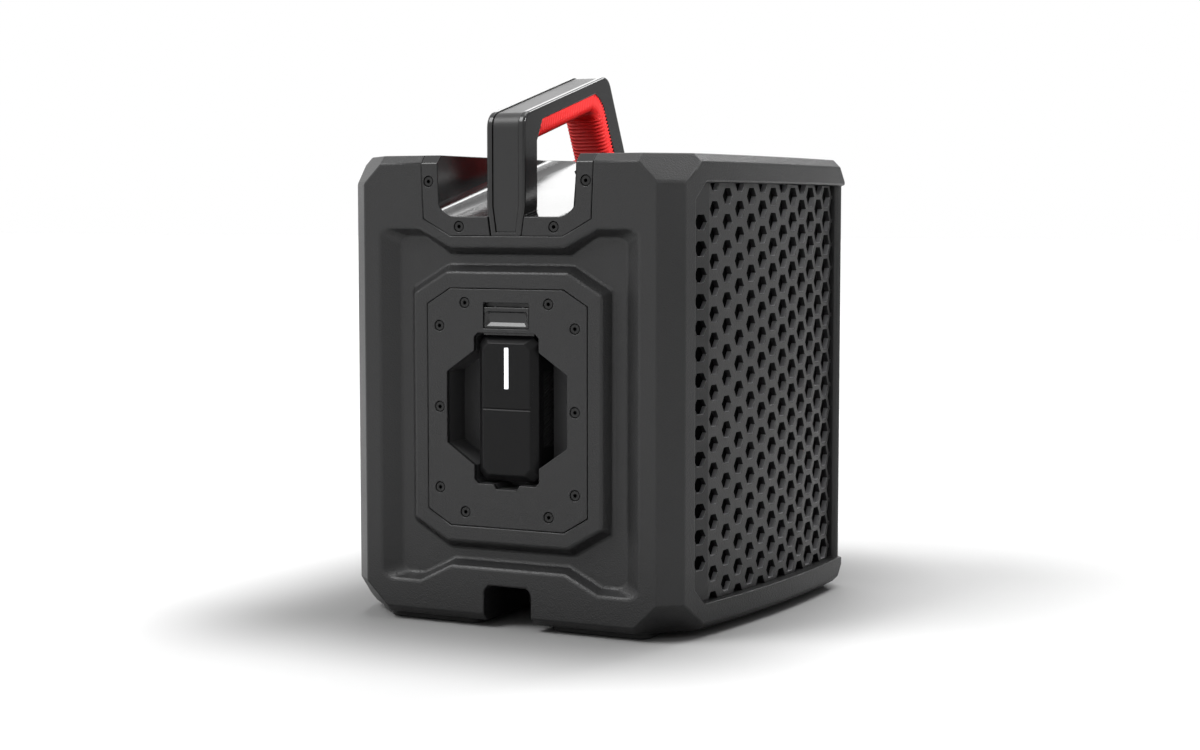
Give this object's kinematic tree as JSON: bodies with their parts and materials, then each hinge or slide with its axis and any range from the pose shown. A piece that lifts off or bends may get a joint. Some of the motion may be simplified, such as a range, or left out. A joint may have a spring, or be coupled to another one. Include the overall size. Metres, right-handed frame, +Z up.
{
  "type": "rugged bluetooth speaker",
  "caption": "Rugged cordless speaker: a bowed box with hexagon grilles, a sloping carry handle with a red grip, and a latched slide-in battery in its rear face.",
  "frame": {"origin": "on the ground under the middle of the body's bounding box", "axes": "+Z up, +Y to the front grille, -Y to the rear face with the battery, +X to the right seen from the rear"},
  "size_m": [0.32, 0.29, 0.4011],
  "materials": {
    "body_plastic": "fine moulded texture",
    "cradle_satin": "satin",
    "handle_black": "fine moulded texture",
    "inlay_black": "satin soft-touch",
    "grip_red": "ribbed soft-touch",
    "screw_black": "black oxide",
    "steel": "zinc plated",
    "bay_black": "plain moulded",
    "pack_black": "satin moulded",
    "light_white": "diffusing",
    "cell_wrap": "shrink wrap",
    "board_green": "solder mask",
    "contact_gold": "plated",
    "grille_plastic": "fine moulded texture",
    "cloth_black": "open acoustic weave",
    "basket_black": "powder coat",
    "cone_grey": "pressed",
    "rubber_black": "matt",
    "sink_metal": "extruded"
  },
  "bodies": {
    "body": {"body_shell": "body_plastic", "handle_cradle": "cradle_satin", "cradle_screws": "screw_black", "handle_frame": "handle_black", "handle_inlay": "inlay_black", "handle_grip": "grip_red", "handle_bolts": "steel", "battery_bezel": "body_plastic", "bezel_screws": "screw_black", "battery_bay": "bay_black", "dock_connector": "bay_black", "latch_spring": "steel", "grille_right": "grille_plastic", "grille_left": "grille_plastic", "grille_front": "grille_plastic", "cloth_right": "cloth_black", "cloth_left": "cloth_black", "cloth_front": "cloth_black", "front_baffle": "bay_black", "woofer_basket": "basket_black", "woofer_magnet": "steel", "woofer_surround": "rubber_black", "tweeter_left": "basket_black", "tweeter_right": "basket_black", "radiator_frame_right": "basket_black", "radiator_surround_right": "rubber_black", "radiator_frame_left": "basket_black", "radiator_surround_left": "rubber_black", "amp_heatsink": "sink_metal", "amp_board": "board_green", "control_panel": "handle_black", "control_board": "board_green", "feet": "rubber_black"},
    "battery": {"pack_case": "pack_black", "pack_front": "pack_black", "pack_light": "light_white", "pack_grips": "rubber_black", "pack_cells": "cell_wrap", "cell_holder": "bay_black", "pack_board": "board_green", "pack_contacts": "contact_gold"},
    "latch": {"latch_slider": "handle_black"},
    "woofer": {"woofer_cone": "cone_grey"},
    "radiator_right": {"radiator_right": "cone_grey"},
    "radiator_left": {"radiator_left": "cone_grey"},
    "power_button": {"button_power": "grip_red"},
    "pair_button": {"button_pair": "rubber_black"},
    "down_button": {"button_down": "rubber_black"},
    "play_button": {"button_play": "rubber_black"},
    "up_button": {"button_up": "rubber_black"}
  },
  "joints": [
    {"name": "battery_slide", "type": "slide", "parent": "body", "child": "battery", "axis": [0, -1, 0], "range_m": [0, 0.14]},
    {"name": "latch_slide", "type": "slide", "parent": "body", "child": "latch", "axis": [0, 0, 1], "range_m": [0, 0.003], "stiffness_N_per_m": 500, "springref_m": -0.002, "deforming": ["latch_spring"]},
    {"name": "woofer_travel", "type": "slide", "parent": "body", "child": "woofer", "axis": [0, 1, 0], "range_m": [-0.003, 0.003], "stiffness_N_per_m": 2500, "deforming": ["woofer_surround"]},
    {"name": "radiator_right_travel", "type": "slide", "parent": "body", "child": "radiator_right", "axis": [0.9945, -0.1045, 0], "range_m": [-0.003, 0.003], "stiffness_N_per_m": 1800, "deforming": ["radiator_surround_right"]},
    {"name": "radiator_left_travel", "type": "slide", "parent": "body", "child": "radiator_left", "axis": [-0.9945, -0.1045, 0], "range_m": [-0.003, 0.003], "stiffness_N_per_m": 1800, "deforming": ["radiator_surround_left"]},
    {"name": "power_press", "type": "slide", "parent": "body", "child": "power_button", "axis": [0, 0, -1], "range_m": [0, 0.0012], "stiffness_N_per_m": 1200, "springref_m": -0.0008},
    {"name": "pair_press", "type": "slide", "parent": "body", "child": "pair_button", "axis": [0, 0, -1], "range_m": [0, 0.0012], "stiffness_N_per_m": 1200, "springref_m": -0.0008},
    {"name": "down_press", "type": "slide", "parent": "body", "child": "down_button", "axis": [0, 0, -1], "range_m": [0, 0.0012], "stiffness_N_per_m": 1200, "springref_m": -0.0008},
    {"name": "play_press", "type": "slide", "parent": "body", "child": "play_button", "axis": [0, 0, -1], "range_m": [0, 0.0012], "stiffness_N_per_m": 1200, "springref_m": -0.0008},
    {"name": "up_press", "type": "slide", "parent": "body", "child": "up_button", "axis": [0, 0, -1], "range_m": [0, 0.0012], "stiffness_N_per_m": 1200, "springref_m": -0.0008}
  ]
}
